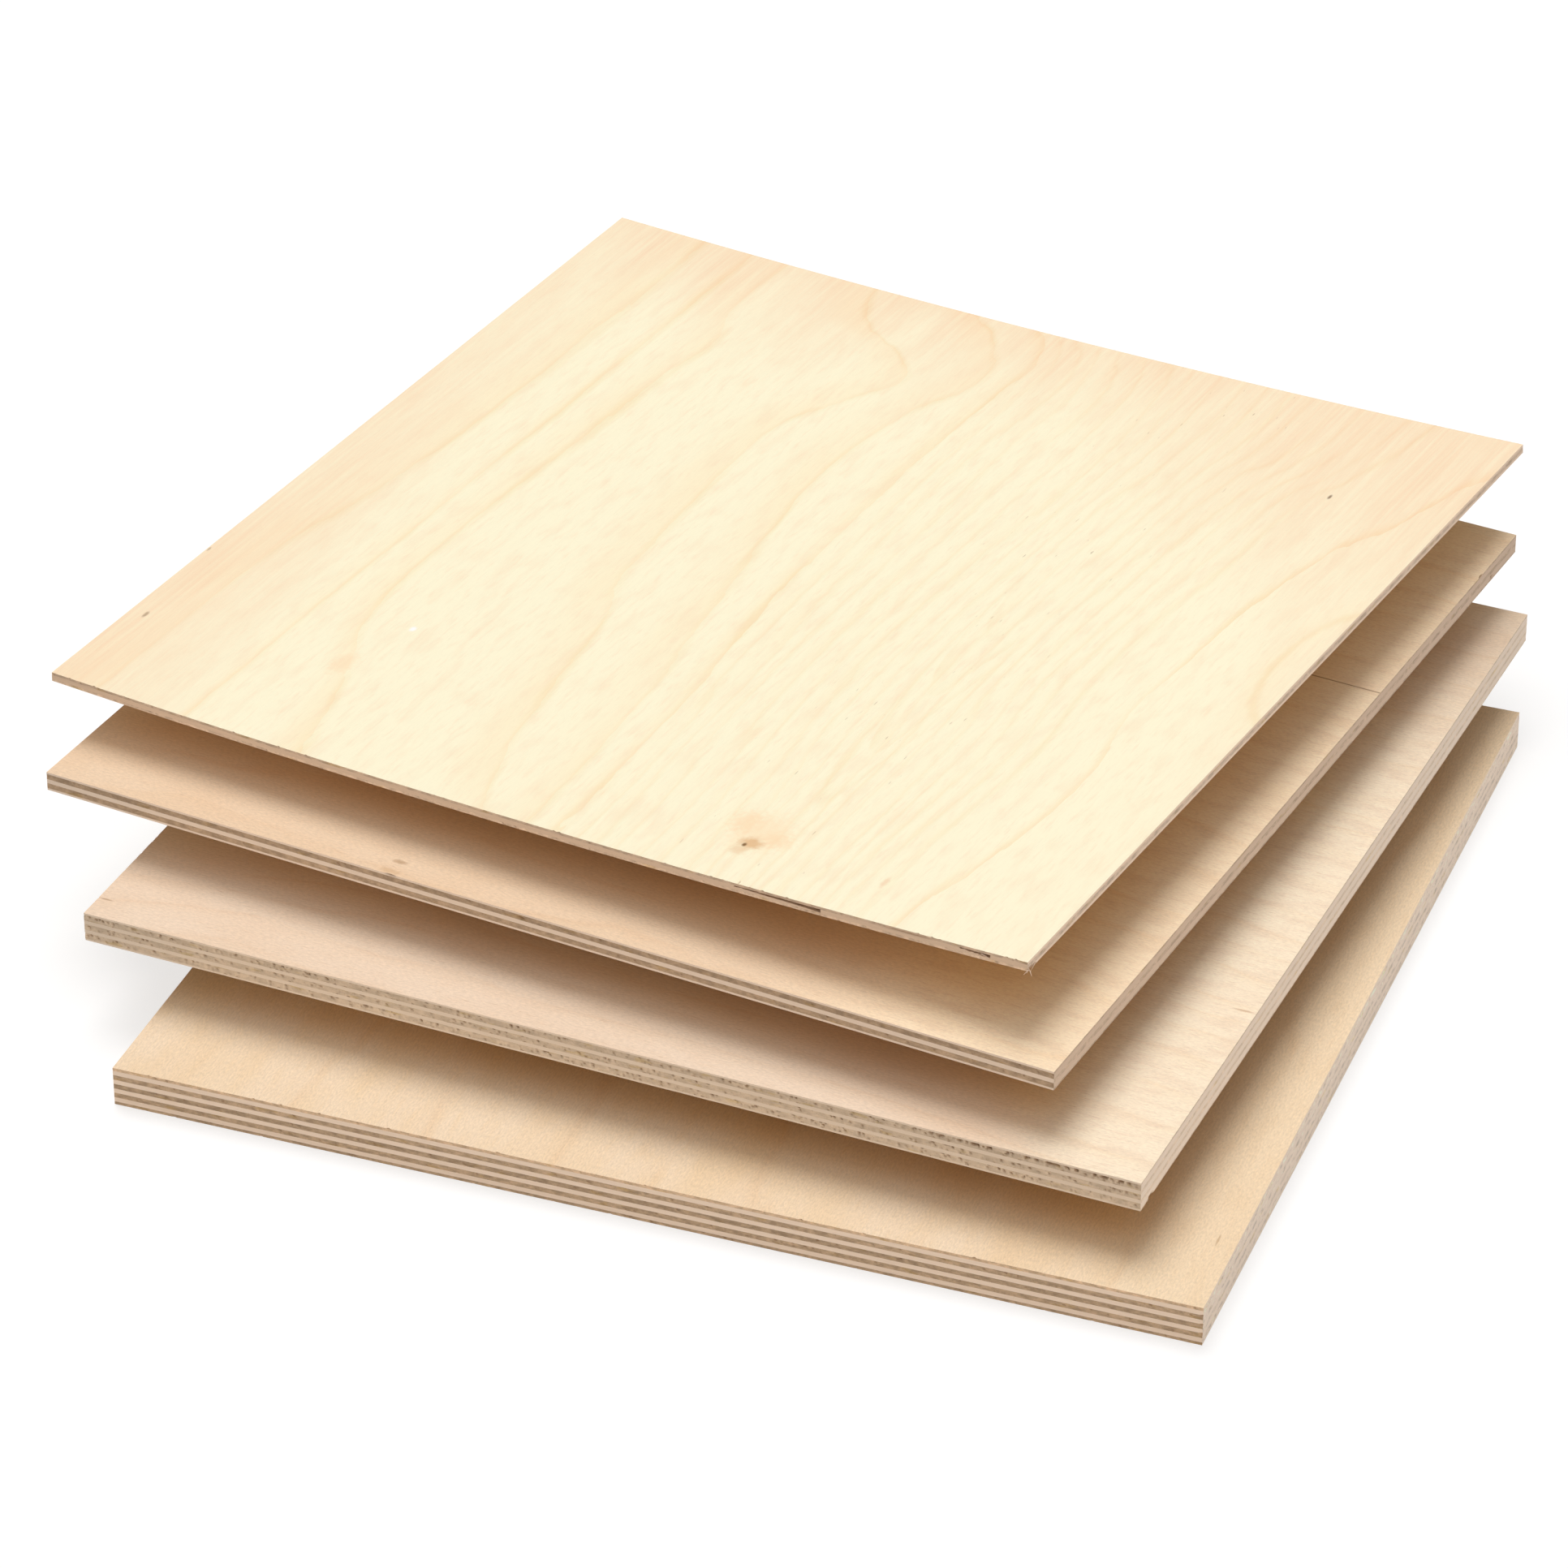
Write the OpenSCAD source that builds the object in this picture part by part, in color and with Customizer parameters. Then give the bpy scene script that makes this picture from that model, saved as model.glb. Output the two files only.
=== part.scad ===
// A fanned stack of four birch plywood sheets, square or nearly so, kept apart by stickers.
// Each sheet is cross-banded: the grain of a veneer lies square to its neighbours' grain.
// The thin top sheet has cupped, so its veneers are bent round one drum.
// The origin is the middle of the bottom sheet's underside, with +X along its front edge,
// +Y to its back edge and +Z up.

/* [Top sheet] */
// Width, across the grain of its face
top_w = 303.5; // [260:0.5:340]
// Length, along the grain of its face
top_l = 307.5; // [260:0.5:340]
// Thickness of its face and back veneers
top_face_t = 0.75; // [0.5:0.05:1.5]
// Thickness of its single crossband
top_crossband_t = 1.2; // [0.8:0.05:2]
// Place of its middle, measured to the right
top_x = -36.8; // [-60:0.1:20]
// Place of its middle, measured to the back
top_y = 69; // [0:0.1:80]
// Turn in plan, counter-clockwise
top_turn = -9.1; // [-15:0.1:15]
// Radius of the cupped underside
cup_r = 3890; // [2000:10:8000]
// Roll of the cupped sheet towards its left edge
cup_lean = 0.89; // [0:0.01:2]

/* [Core voids] */
// Length of the long void in the top sheet's crossband, along the front edge
long_void_l = 26; // [5:0.5:40]
// Distance of the long void from the front right corner
long_void_inset = 61; // [50:0.5:90]
// Length of the short void in the same crossband
short_void_l = 9; // [3:0.5:30]
// Distance of the short void from the front right corner
short_void_inset = 11; // [5:0.5:18]
// Depth of both voids behind the front edge
void_depth = 6; // [1:0.5:20]

/* [Upper sheet] */
// Side of the square
upper_side = 306; // [260:1:340]
// Thickness of its face and back veneers
upper_face_t = 0.6; // [0.5:0.05:1.5]
// Thickness of each crossband
upper_crossband_t = 1.6; // [0.8:0.05:2]
// Thickness of its core
upper_core_t = 1.3; // [0.8:0.05:2]
// Place of its middle, measured to the right
upper_x = -31; // [-50:1:20]
// Place of its middle, measured to the back
upper_y = 50; // [0:1:60]
// Turn in plan, counter-clockwise
upper_turn = -7.4; // [-15:0.1:15]

/* [Lower sheet] */
// Side of the square
lower_side = 306; // [260:1:340]
// Thickness of its face and back veneers
lower_face_t = 0.55; // [0.5:0.05:1.5]
// Thickness of each crossband
lower_crossband_t = 1.8; // [0.8:0.05:2]
// Thickness of each core
lower_core_t = 1.1; // [0.8:0.05:2]
// Place of its middle, measured to the right
lower_x = -14; // [-30:1:20]
// Place of its middle, measured to the back
lower_y = 27; // [0:1:40]
// Turn in plan, counter-clockwise
lower_turn = -3.5; // [-15:0.1:15]

/* [Bottom sheet] */
// Side of the square
bottom_side = 304; // [260:1:340]
// Thickness of its face and back veneers
bottom_face_t = 0.9; // [0.5:0.05:1.5]
// Thickness of each crossband
bottom_crossband_t = 1.35; // [0.8:0.05:2]
// Thickness of each core
bottom_core_t = 1.5; // [0.8:0.05:2]

/* [Stickers] */
// Height of a sticker, which is the gap between two sheets at the cupped sheet's lowest line
sticker_h = 13; // [8:0.5:25]
// Width of a sticker
sticker_w = 20; // [10:1:30]
// Length of a sticker
sticker_l = 200; // [120:1:220]
// Distance between the middles of the two stickers under one sheet
sticker_pitch = 150; // [100:1:160]
// How far the stickers are set in front of the middle of the sheet they carry
sticker_forward = 10; // [0:1:20]

/* [Hidden] */

// Sheets in order from the floor up, with the number of veneers in each
sheet_name = ["bottom", "lower", "upper", "top"];
plies = [9, 7, 5, 3];
top = len(sheet_name) - 1;
sheets = [for (s = [0 : top]) s];
side = [bottom_side, lower_side, upper_side];
face_t = [bottom_face_t, lower_face_t, upper_face_t, top_face_t];
crossband_t = [bottom_crossband_t, lower_crossband_t, upper_crossband_t, top_crossband_t];
core_t = [bottom_core_t, lower_core_t, upper_core_t];
place = [[0, 0], [lower_x, lower_y], [upper_x, upper_y], [top_x, top_y]];
turn = [0, lower_turn, upper_turn, top_turn];

// Stickers: the sheets that have a pair under them, and the side of the pair
carried = [for (s = [1 : top]) s];
hands = ["left", "right"];

// Overshoot of a cutter past the face it cuts
over = 1;
// Sides of the whole drum that a cupped veneer is a short arc of
drum_fn = 3600;

face_colour = [0.96, 0.88, 0.72];
crossband_colour = [0.72, 0.6, 0.47];
core_colour = [0.86, 0.75, 0.62];
sticker_colour = [0.8, 0.66, 0.46];

// Make-up of a sheet: layer 0 is the back veneer and the last layer is the face
function is_outer(s, i) = i == 0 || i == plies[s] - 1;
function is_crossband(i) = i % 2 == 1;
function layer_t(s, i) =
    is_outer(s, i) ? face_t[s] : is_crossband(i) ? crossband_t[s] : core_t[s];
function layer_z(s, i) = i == 0 ? 0 : layer_z(s, i - 1) + layer_t(s, i - 1);
function layer_colour(s, i) =
    is_outer(s, i) ? face_colour : is_crossband(i) ? crossband_colour : core_colour;
function layer_name(s, i) =
    i == 0 ? "back"
    : i == plies[s] - 1 ? "face"
    : is_crossband(i) ? str("crossband_", (i + 1) / 2)
    : str("core_", i / 2);
function veneer_name(s, i) = str(sheet_name[s], "_", layer_name(s, i));

// Height of a sheet's underside above the floor
function sheet_t(s) = layer_z(s, plies[s] - 1) + face_t[s];
function sheet_z(s) = s == 0 ? 0 : sheet_z(s - 1) + sheet_t(s - 1) + sticker_h;

// The cup: place of its lowest line, and the rise of the underside away from that line
belly_x = -cup_r * sin(cup_lean);
function cup_rise(distance) = cup_r - sqrt(cup_r * cup_r - distance * distance);
cup_angle = top_w / cup_r * 180 / PI;
cup_top = cup_rise(top_w / 2 + abs(belly_x)) + sheet_t(top);

// A sticker's middle line, and the point across it where the sheet above comes down on it
function sticker_x(hand) = (hand == "left" ? -1 : 1) * sticker_pitch / 2;
function seat_x(hand) =
    min(max(belly_x, sticker_x(hand) - sticker_w / 2), sticker_x(hand) + sticker_w / 2);
function seat_rise(s, hand) = s == top ? cup_rise(seat_x(hand) - belly_x) : 0;
function sticker_name(s, hand) = str(sheet_name[s], "_sticker_", hand);

// Puts a shape drawn about the middle of a sheet's underside in its place in the stack
module at_sheet(s) {
    translate([place[s].x, place[s].y, sheet_z(s)])
        rotate(turn[s])
            children();
}

// One veneer of a flat sheet
module flat_veneer(s, i) {
    translate([-side[s] / 2, -side[s] / 2, layer_z(s, i)])
        cube([side[s], side[s], layer_t(s, i)]);
}

// One veneer of the cupped sheet: a short arc of a drum that lies along the grain of the face
module cupped_veneer(i) {
    translate([belly_x, 0, cup_r])
        rotate([90, 0, 0])
            rotate(cup_lean - cup_angle / 2 - 90)
                rotate_extrude(angle = cup_angle, $fn = drum_fn)
                    translate([cup_r - layer_z(top, i + 1), -top_l / 2])
                        square([layer_t(top, i), top_l]);
}

// A place in the front edge of the top sheet's crossband where the veneer is missing
module core_void(length, inset) {
    translate([top_w / 2 - inset - length, -top_l / 2 - over, -over])
        cube([length, void_depth + over, cup_top + 2 * over]);
}

module veneer(s, i) {
    color(layer_colour(s, i))
        at_sheet(s)
            if (s != top) {
                flat_veneer(s, i);
            } else if (is_crossband(i)) {
                difference() {
                    cupped_veneer(i);
                    core_void(long_void_l, long_void_inset);
                    core_void(short_void_l, short_void_inset);
                }
            } else {
                cupped_veneer(i);
            }
}

// A batten between two sheets; one under the cupped sheet is as high as the sheet's underside there
module sticker(s, hand) {
    color(sticker_colour)
        at_sheet(s)
            translate([sticker_x(hand) - sticker_w / 2, -sticker_l / 2 - sticker_forward, -sticker_h])
                cube([sticker_w, sticker_l, sticker_h + seat_rise(s, hand)]);
}

for (s = sheets) {
    for (i = [0 : plies[s] - 1]) {
        veneer(s, i);
    }
}

for (s = carried) {
    for (hand = hands) {
        sticker(s, hand);
    }
}
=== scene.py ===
import math
import random
import bpy
from mathutils import Matrix, Vector


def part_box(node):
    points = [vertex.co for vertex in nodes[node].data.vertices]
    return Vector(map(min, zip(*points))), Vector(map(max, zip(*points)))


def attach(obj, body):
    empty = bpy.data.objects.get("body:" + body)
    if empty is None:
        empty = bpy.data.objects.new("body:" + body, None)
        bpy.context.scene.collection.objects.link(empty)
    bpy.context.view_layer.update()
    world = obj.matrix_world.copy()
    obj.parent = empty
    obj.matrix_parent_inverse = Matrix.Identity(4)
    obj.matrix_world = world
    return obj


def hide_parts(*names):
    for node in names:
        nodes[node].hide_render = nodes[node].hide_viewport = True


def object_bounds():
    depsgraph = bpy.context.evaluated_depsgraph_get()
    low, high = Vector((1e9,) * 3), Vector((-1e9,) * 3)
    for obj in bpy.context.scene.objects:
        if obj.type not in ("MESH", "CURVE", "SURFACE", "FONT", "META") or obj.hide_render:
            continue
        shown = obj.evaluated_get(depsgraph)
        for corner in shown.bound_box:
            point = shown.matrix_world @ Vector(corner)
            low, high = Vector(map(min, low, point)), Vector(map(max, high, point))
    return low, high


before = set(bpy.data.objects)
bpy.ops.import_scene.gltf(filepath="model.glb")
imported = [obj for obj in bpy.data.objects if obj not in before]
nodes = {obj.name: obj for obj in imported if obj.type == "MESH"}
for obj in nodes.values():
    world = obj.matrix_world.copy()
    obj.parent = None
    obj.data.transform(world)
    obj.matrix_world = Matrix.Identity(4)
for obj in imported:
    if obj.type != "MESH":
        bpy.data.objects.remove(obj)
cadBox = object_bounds()
mm = 0.001  # the frame is in metres, sizes below are in millimetres
tiny = 0.02 * mm
random.seed(7)
print("frame loaded,", len(nodes), "nodes")


# Camera, where the photograph was taken from
view = {
    "place": (0.5307, -1.4734, 1.0446),  # metres from the middle of the bottom sheet
    "turn": 20.42,  # degrees to the left of straight back
    "dip": 32.57,  # degrees below level
    "lens": 155.3,  # on a sensor 36 mm wide
    "sensor": 36,
}
bpy.ops.object.camera_add(location=view["place"])
camera = bpy.context.object
camera.name = "camera"
camera.rotation_euler = (math.radians(90 - view["dip"]), 0, math.radians(view["turn"]))
camera.data.lens = view["lens"]
camera.data.sensor_width = view["sensor"]
camera.data.dof.use_dof = False
bpy.context.scene.camera = camera
bpy.context.scene.view_settings.view_transform = "Standard"
print("camera set")


# Small helpers for node trees: a value is a number, a colour or another node's socket
def feed(tree, socket, value):
    if isinstance(value, bpy.types.NodeSocket):
        tree.links.new(value, socket)
    else:
        socket.default_value = value


def calc(tree, operation, *values, clamp=False):
    node = tree.nodes.new("ShaderNodeMath")
    node.operation = operation
    node.use_clamp = clamp
    for socket, value in zip(node.inputs, values):
        feed(tree, socket, value)
    return node.outputs[0]


def vectorCalc(tree, operation, *values):
    node = tree.nodes.new("ShaderNodeVectorMath")
    node.operation = operation
    for socket, value in zip(node.inputs, values):
        feed(tree, socket, value)
    return node.outputs["Value" if operation == "LENGTH" else "Vector"]


def ramp(tree, value, low, high, start=0.0, end=1.0, smooth=True):
    node = tree.nodes.new("ShaderNodeMapRange")
    node.interpolation_type = "SMOOTHSTEP" if smooth else "LINEAR"
    labels = ("Value", "From Min", "From Max", "To Min", "To Max")
    for label, entry in zip(labels, (value, low, high, start, end)):
        feed(tree, node.inputs[label], entry)
    return node.outputs["Result"]


def joinXyz(tree, x, y, z):
    node = tree.nodes.new("ShaderNodeCombineXYZ")
    for socket, value in zip(node.inputs, (x, y, z)):
        feed(tree, socket, value)
    return node.outputs[0]


def splitXyz(tree, vector):
    node = tree.nodes.new("ShaderNodeSeparateXYZ")
    tree.links.new(vector, node.inputs[0])
    return node.outputs


def noise(tree, vector, scale, detail=2.0, roughness=0.5):
    node = tree.nodes.new("ShaderNodeTexNoise")
    feed(tree, node.inputs["Vector"], vector)
    feed(tree, node.inputs["Scale"], scale)
    node.inputs["Detail"].default_value = detail
    node.inputs["Roughness"].default_value = roughness
    return node.outputs["Fac"]


def drawnNoise(tree, vector, cell, detail=2.0, roughness=0.5):  # cells of these lengths, 0 leaves an axis out
    shares = [1 / length if length else 0 for length in cell]
    return noise(tree, vectorCalc(tree, "MULTIPLY", vector, shares), 1, detail, roughness)


def offMiddle(tree, value):  # a noise that swings about nought
    return calc(tree, "SUBTRACT", value, 0.5)


def blendTone(tree, share, first, second, kind="MIX"):
    node = tree.nodes.new("ShaderNodeMix")
    node.data_type = "RGBA"
    node.blend_type = kind
    node.clamp_result = True
    feed(tree, node.inputs[0], share)
    feed(tree, node.inputs[6], first)
    feed(tree, node.inputs[7], second)
    return node.outputs[2]


def scaleTone(tree, colour, level):
    return blendTone(tree, 1.0, colour, joinXyz(tree, level, level, level), "MULTIPLY")


def useGroup(tree, group, **values):
    node = tree.nodes.new("ShaderNodeGroup")
    node.node_tree = group
    for label, value in values.items():
        feed(tree, node.inputs[label], value)
    return node.outputs


def newGroup(name, inputs, outputs):
    group = bpy.data.node_groups.new(name, "ShaderNodeTree")
    for label, kind in inputs.items():
        group.interface.new_socket(label, in_out="INPUT", socket_type="NodeSocket" + kind)
    for label, kind in outputs.items():
        group.interface.new_socket(label, in_out="OUTPUT", socket_type="NodeSocket" + kind)
    return group, group.nodes.new("NodeGroupInput").outputs, group.nodes.new("NodeGroupOutput").inputs


def tone(red, green, blue):  # sRGB from 0 to 255, as a linear colour
    def linear(part):
        part = part / 255
        return part / 12.92 if part <= 0.04045 else ((part + 0.055) / 1.055) ** 2.4
    return (linear(red), linear(green), linear(blue), 1.0)


# Light: a broad soft lamp above, a little behind and to the left, two low fills and a white room
light = {
    "lampBack": 20,  # degrees that the lamp stands behind the vertical
    "lampLeft": 13,  # degrees that it stands to the left
    "lampSpread": 36,  # degrees across, for the soft shadow edges
    "lampLevel": 1.83,
    "roomLow": 0.085,  # the room is dim and warm at the level of the floor and bright overhead
    "roomHigh": 0.85,
    "roomWarm": (255, 206, 149),
    "roomSlant": 0.5,  # how much more light comes from the front and left than from the back and right
    "fillTurn": 49,  # degrees to the right of the front that the low fill comes from
    "fillRise": 1,  # degrees above level
    "fillSpread": 6,
    "fillLevel": 2.2,
    "backLevel": 1.1,  # of a fill from the opposite side, for the back and the left
    "floorTone": (164, 164, 164),
    "floorGlow": 0.68,  # seen by the camera alone, so that the floor comes out white
    "floorSize": 8.0,
}


def addLamp(name, level, spread, way):
    bpy.ops.object.light_add(type="SUN")
    lamp = bpy.context.object
    lamp.name = name
    lamp.data.energy = level
    lamp.data.angle = math.radians(spread)
    lamp.rotation_euler = way.to_track_quat("-Z", "Y").to_euler()


def lightObject():
    back, left = math.radians(light["lampBack"]), math.radians(light["lampLeft"])
    lampWay = Vector((math.tan(left), -math.tan(back), -1))
    addLamp("soft_lamp", light["lampLevel"], light["lampSpread"], lampWay)
    turn, rise = math.radians(light["fillTurn"]), math.radians(light["fillRise"])
    for name, level, sign in (("low_fill", light["fillLevel"], 1), ("back_fill", light["backLevel"], -1)):
        fillWay = Vector((-math.sin(turn) * sign, math.cos(turn) * sign, -math.tan(rise)))
        addLamp(name, level, light["fillSpread"], fillWay)


def seenDirectly(tree):  # 1 for rays from the camera or from gloss and glass
    path = tree.nodes.new("ShaderNodeLightPath").outputs
    gloss = calc(tree, "MAXIMUM", path["Is Glossy Ray"], path["Is Transmission Ray"])
    return calc(tree, "MAXIMUM", path["Is Camera Ray"], gloss)


def lightRoom():
    world = bpy.data.worlds.new("room")
    bpy.context.scene.world = world
    world.use_nodes = True
    tree = world.node_tree
    background = tree.nodes["Background"]
    way = splitXyz(tree, tree.nodes.new("ShaderNodeTexCoord").outputs["Generated"])
    rise = calc(tree, "MAXIMUM", way["Z"], 0)
    overhead = calc(tree, "MULTIPLY", rise, rise)
    level = ramp(tree, overhead, 0, 1, light["roomLow"], light["roomHigh"], smooth=False)
    slant = calc(tree, "MULTIPLY", calc(tree, "ADD", way["X"], way["Y"]), light["roomSlant"])
    level = calc(tree, "MULTIPLY", level, calc(tree, "SUBTRACT", 1, slant))
    seen = seenDirectly(tree)
    colour = blendTone(tree, ramp(tree, rise, 0, 1), tone(*light["roomWarm"]), (1, 1, 1, 1))
    feed(tree, background.inputs["Color"], blendTone(tree, seen, colour, (1, 1, 1, 1)))
    feed(tree, background.inputs["Strength"], ramp(tree, seen, 0, 1, level, 1, smooth=False))


def layFloor():
    bpy.ops.object.select_all(action="DESELECT")
    bpy.ops.mesh.primitive_plane_add(size=light["floorSize"], location=(0, 0, cadBox[0].z))
    floor = bpy.context.object
    floor.name = "floor"
    bpy.ops.object.transform_apply(location=True)
    material = bpy.data.materials.new("pale_floor")
    material.use_nodes = True
    tree = material.node_tree
    shader = tree.nodes["Principled BSDF"]
    place = tree.nodes.new("ShaderNodeTexCoord").outputs["Object"]
    shader.inputs["Base Color"].default_value = tone(*light["floorTone"])
    feed(tree, shader.inputs["Roughness"], ramp(tree, noise(tree, place, 60), 0.3, 0.7, 0.8, 0.9))
    shader.inputs["Specular IOR Level"].default_value = 0.0
    shader.inputs["Emission Color"].default_value = (1, 1, 1, 1)
    glow = ramp(tree, seenDirectly(tree), 0, 1, 0, light["floorGlow"], smooth=False)
    feed(tree, shader.inputs["Emission Strength"], glow)
    floor.data.materials.append(material)


lightObject()
lightRoom()
layFloor()
print("light and floor set")


# Shared effects, as node groups. Vectors in them are in millimetres with the grain along X.
def buildFibre():
    inputs = {"Vector": "Vector", "Length": "Float", "Width": "Float"}
    tree, given, out = newGroup("fibre", inputs, {"Streak": "Float", "Pores": "Float"})
    lengthwise = calc(tree, "DIVIDE", 1, given["Length"])
    crosswise = calc(tree, "DIVIDE", 1, given["Width"])
    drawn = vectorCalc(tree, "MULTIPLY", given["Vector"], joinXyz(tree, lengthwise, crosswise, crosswise))
    feed(tree, out["Streak"], noise(tree, drawn, 1, detail=4, roughness=0.6))
    poreNoise = noise(tree, drawn, 1.9, detail=1)
    feed(tree, out["Pores"], ramp(tree, poreNoise, 0.68, 0.78))
    return tree


def buildRingBand():  # growth rings between two grain lines, Left and Right, given in millimetres
    labels = ("Across", "Left", "Right", "Rings", "LineWidth", "ShadeWidth")
    inputs = {label: "Float" for label in labels}
    tree, given, out = newGroup("ringBand", inputs, {"Line": "Float", "Shade": "Float"})
    pitch = calc(tree, "DIVIDE", calc(tree, "SUBTRACT", given["Right"], given["Left"]), given["Rings"])
    count = calc(tree, "DIVIDE", calc(tree, "SUBTRACT", given["Across"], given["Left"]), pitch)
    started = calc(tree, "GREATER_THAN", count, 0)
    inside = calc(tree, "MULTIPLY", started, calc(tree, "LESS_THAN", count, given["Rings"]))
    part = calc(tree, "FRACT", count)
    behind = calc(tree, "MULTIPLY", part, pitch)
    ahead = calc(tree, "SUBTRACT", pitch, behind)
    nearest = calc(tree, "MINIMUM", behind, ahead)
    feed(tree, out["Line"], calc(tree, "MULTIPLY", inside, ramp(tree, nearest, given["LineWidth"], 0)))
    feed(tree, out["Shade"], calc(tree, "MULTIPLY", inside, ramp(tree, ahead, given["ShadeWidth"], 0)))
    return tree


def buildPlainFigure():  # wandering rings for the faces that show only as strips
    inputs = {"Vector": "Vector", "Pitch": "Float", "Wander": "Float"}
    tree, given, out = newGroup("plainFigure", inputs, {"Line": "Float", "Shade": "Float"})
    bend = drawnNoise(tree, given["Vector"], (130, 55, 55), detail=3, roughness=0.45)
    wander = calc(tree, "MULTIPLY", offMiddle(tree, bend), given["Wander"])
    across = calc(tree, "ADD", splitXyz(tree, given["Vector"])["Y"], wander)
    part = calc(tree, "FRACT", calc(tree, "DIVIDE", across, given["Pitch"]))
    edge = calc(tree, "MINIMUM", part, calc(tree, "SUBTRACT", 1, part))
    broken = drawnNoise(tree, given["Vector"], (30, 8, 8))
    line = calc(tree, "MULTIPLY", ramp(tree, edge, 0.11, 0), ramp(tree, broken, 0.42, 0.62))
    feed(tree, out["Line"], line)
    feed(tree, out["Shade"], ramp(tree, part, 0.45, 1))
    return tree


def buildSpot():  # a soft patch of ragged outline
    inputs = {"Vector": "Vector", "Place": "Vector", "Size": "Vector", "Ragged": "Float"}
    tree, given, out = newGroup("spot", inputs, {"Mask": "Float"})
    away = vectorCalc(tree, "SUBTRACT", given["Vector"], given["Place"])
    reach = vectorCalc(tree, "LENGTH", vectorCalc(tree, "DIVIDE", away, given["Size"]))
    outline = noise(tree, given["Vector"], 0.6, detail=3)
    wobble = calc(tree, "MULTIPLY", offMiddle(tree, outline), given["Ragged"])
    feed(tree, out["Mask"], ramp(tree, calc(tree, "ADD", reach, wobble), 1, 0.25))
    return tree


fibreGroup = buildFibre()
ringBandGroup = buildRingBand()
plainFigureGroup = buildPlainFigure()
spotGroup = buildSpot()
print("node groups built")


# The sheets, from the floor up. Colours are sRGB. Line and shade tint the growth rings of a face. The entry
# for the right edge is painted light, the face made paler there as if more light fell on it: near says where
# it starts and where it is full, and far how much of it is left at the back. A sawn side shows the grain of a
# veneer
# from its end or along its length: the letter after end and long is the axis that the grain follows.
sheetLooks = {
    "bottom": {
        "grain": "Y", "pale": (241, 219, 191), "warm": (238, 211, 175),
        "line": (240, 222, 200), "shade": (249, 241, 230),
        "paintedLight": (244, 221, 189), "near": (95, 140), "far": 1,
        "pitch": 34, "wander": 70, "lineShare": 0.25, "shadeShare": 0.2,
        "poreShare": 0.25, "fleck": 0.45, "mottle": 0.1,
        "endY": (193, 165, 135), "longX": (251, 227, 203), "endX": (248, 229, 210), "longY": (252, 233, 214),
        "blotch": 0.22, "pit": 0.4, "pitCell": 2.6, "pitEdge": 0.24, "backLevel": 1.1, "faceLevel": 1.45,
    },
    "lower": {
        "grain": "X", "pale": (240, 218, 195), "warm": (236, 210, 184),
        "line": (238, 220, 200), "shade": (249, 241, 230),
        "paintedLight": (255, 238, 212), "near": (95, 140), "far": 0.4,
        "pitch": 12, "wander": 50, "lineShare": 0.22, "shadeShare": 0.2,
        "poreShare": 0.5, "fleck": 0.4, "mottle": 0.09,
        "endY": (207, 186, 161), "longX": (229, 210, 188), "endX": (224, 204, 182), "longY": (240, 222, 204),
        "blotch": 0.13, "pit": 0.65, "pitCell": 1.6, "pitEdge": 0.36, "backLevel": 1.0, "faceLevel": 1.0,
    },
    "upper": {
        "grain": "X", "pale": (239, 213, 184), "warm": (236, 206, 174),
        "line": (238, 216, 192), "shade": (249, 241, 230),
        "paintedLight": (255, 232, 200), "near": (55, 115), "far": 1,
        "pitch": 22, "wander": 70, "lineShare": 0.2, "shadeShare": 0.2,
        "poreShare": 0.45, "fleck": 0.4, "mottle": 0.09,
        "endY": (182, 156, 129), "longX": (236, 215, 194), "endX": (196, 173, 152), "longY": (207, 184, 163),
        "blotch": 0.2, "pit": 0.35, "pitCell": 2.2, "pitEdge": 0.24, "backLevel": 1.0, "faceLevel": 1.0,
    },
    "top": {
        "grain": "Y", "pale": (254, 248, 219), "warm": (250, 226, 194),
        "line": (250, 240, 226), "shade": (255, 248, 242),
        "pitch": 24, "wander": 70, "lineShare": 0.68, "shadeShare": 0.9,
        "poreShare": 0.12, "fleck": 0.3, "mottle": 0.012,
        "endY": (212, 186, 160), "longX": (223, 196, 169), "endX": (200, 178, 157), "longY": (227, 204, 182),
        "blotch": 0.2, "pit": 0.3, "pitCell": 2.0, "pitEdge": 0.26, "backLevel": 1.1, "faceLevel": 0.95,
    },
}
paintedLightFade = (30, 150)  # where the painted light by the right edge starts to fade to the back, and where it is down to far
underTone = (255, 230, 182)  # of the backs, which have a plain figure and no marks
fibre = {
    "length": 9.0,
    "width": 0.42,
    "contrast": 0.035,
    "poreTone": (202, 158, 116),
    "flecks": ((8, 1.3, 0.5), (16, 5, 0.45)),  # small flecks and larger clouds: length, width and threshold
    "sheen": 0.03,  # the wood is sanded and bare, so it hardly shines
}
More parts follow.
